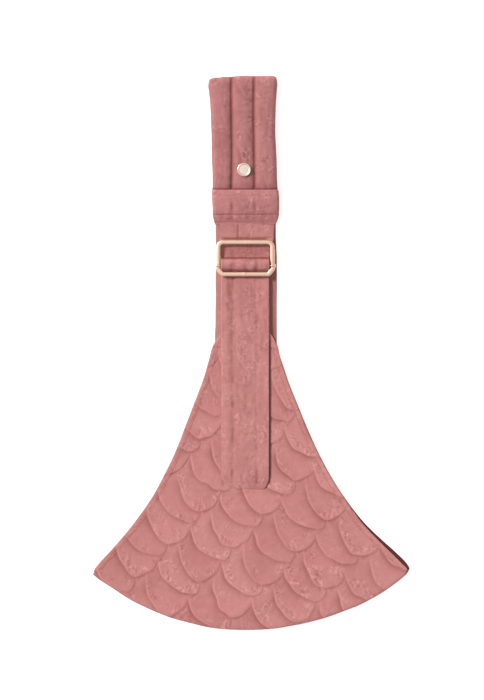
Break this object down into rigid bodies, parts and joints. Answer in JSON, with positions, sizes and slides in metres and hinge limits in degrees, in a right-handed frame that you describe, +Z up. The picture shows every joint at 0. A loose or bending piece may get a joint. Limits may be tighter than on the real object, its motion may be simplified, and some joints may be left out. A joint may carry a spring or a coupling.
{
  "type": "soft baby carrier",
  "caption": "One-shoulder hip sling baby carrier: fan-shaped fabric seat pouch, padded shoulder strap, metal slider with a free strap end, and a button on the pad.",
  "frame": {"origin": "middle of the footprint, on the surface that the carrier lies on", "axes": "+X to the right seen from above, +Y from the seat pouch's curved seam to the shoulder fold, +Z up, away from the surface"},
  "size_m": [0.4092, 0.7152, 0.0211],
  "materials": {
    "quilt": "matte",
    "hem": "matte",
    "strap_fabric": "matte",
    "strap_back": "matte",
    "lining": "matte",
    "batting": "matte",
    "tape": "matte",
    "thread": "satin",
    "rose_gold": "satin",
    "button_metal": "polished"
  },
  "bodies": {
    "back": {"back_panel_outer": "quilt", "back_panel_lining": "lining", "back_hem_left": "hem", "back_hem_right": "hem", "seat_seam_allowance": "lining", "back_strap_outer": "strap_back", "back_strap_lining": "lining", "pad_back_cover": "strap_fabric", "pad_back_padding_left": "batting", "pad_back_padding_center": "batting", "pad_back_padding_right": "batting"},
    "front": {"front_panel_outer": "quilt", "front_panel_lining": "lining", "front_hem_left": "hem", "front_hem_right": "hem", "neck_strap": "strap_fabric", "neck_stitching": "thread", "strap_threaded": "strap_fabric"},
    "slider": {"slider_frame": "rose_gold", "slider_center_bar": "rose_gold"},
    "upper": {"pad_front_cover": "strap_fabric", "pad_front_padding_left": "batting", "pad_front_padding_center": "batting", "pad_front_padding_right": "batting", "shoulder_cuff": "strap_fabric", "cuff_stitching": "thread", "strap_upper": "strap_fabric", "button_cap": "button_metal", "button_tack": "button_metal"},
    "tail": {"tail_strap": "strap_fabric", "tail_core": "tape"}
  },
  "joints": [
    {"name": "front_lift", "type": "hinge", "parent": "back", "child": "front", "pos_m": [0, -0.3574, 0.004], "axis": [1, 0, 0], "range_deg": [0, 5]},
    {"name": "shoulder_lift", "type": "hinge", "parent": "back", "child": "upper", "pos_m": [0, 0.3576, 0.0094], "axis": [-1, 0, 0], "range_deg": [0, 11.5]},
    {"name": "slider_tilt", "type": "hinge", "parent": "front", "child": "slider", "pos_m": [-0.0068, 0.113, 0.011], "axis": [1, 0, 0], "range_deg": [0, 8]},
    {"name": "tail_lift", "type": "hinge", "parent": "front", "child": "tail", "pos_m": [-0.007, 0.0974, 0.0098], "axis": [-1, 0, 0], "range_deg": [0, 100]}
  ],
  "couplings": [
    {"joint": "shoulder_lift", "follows": "front_lift", "ratio": 2.286}
  ]
}
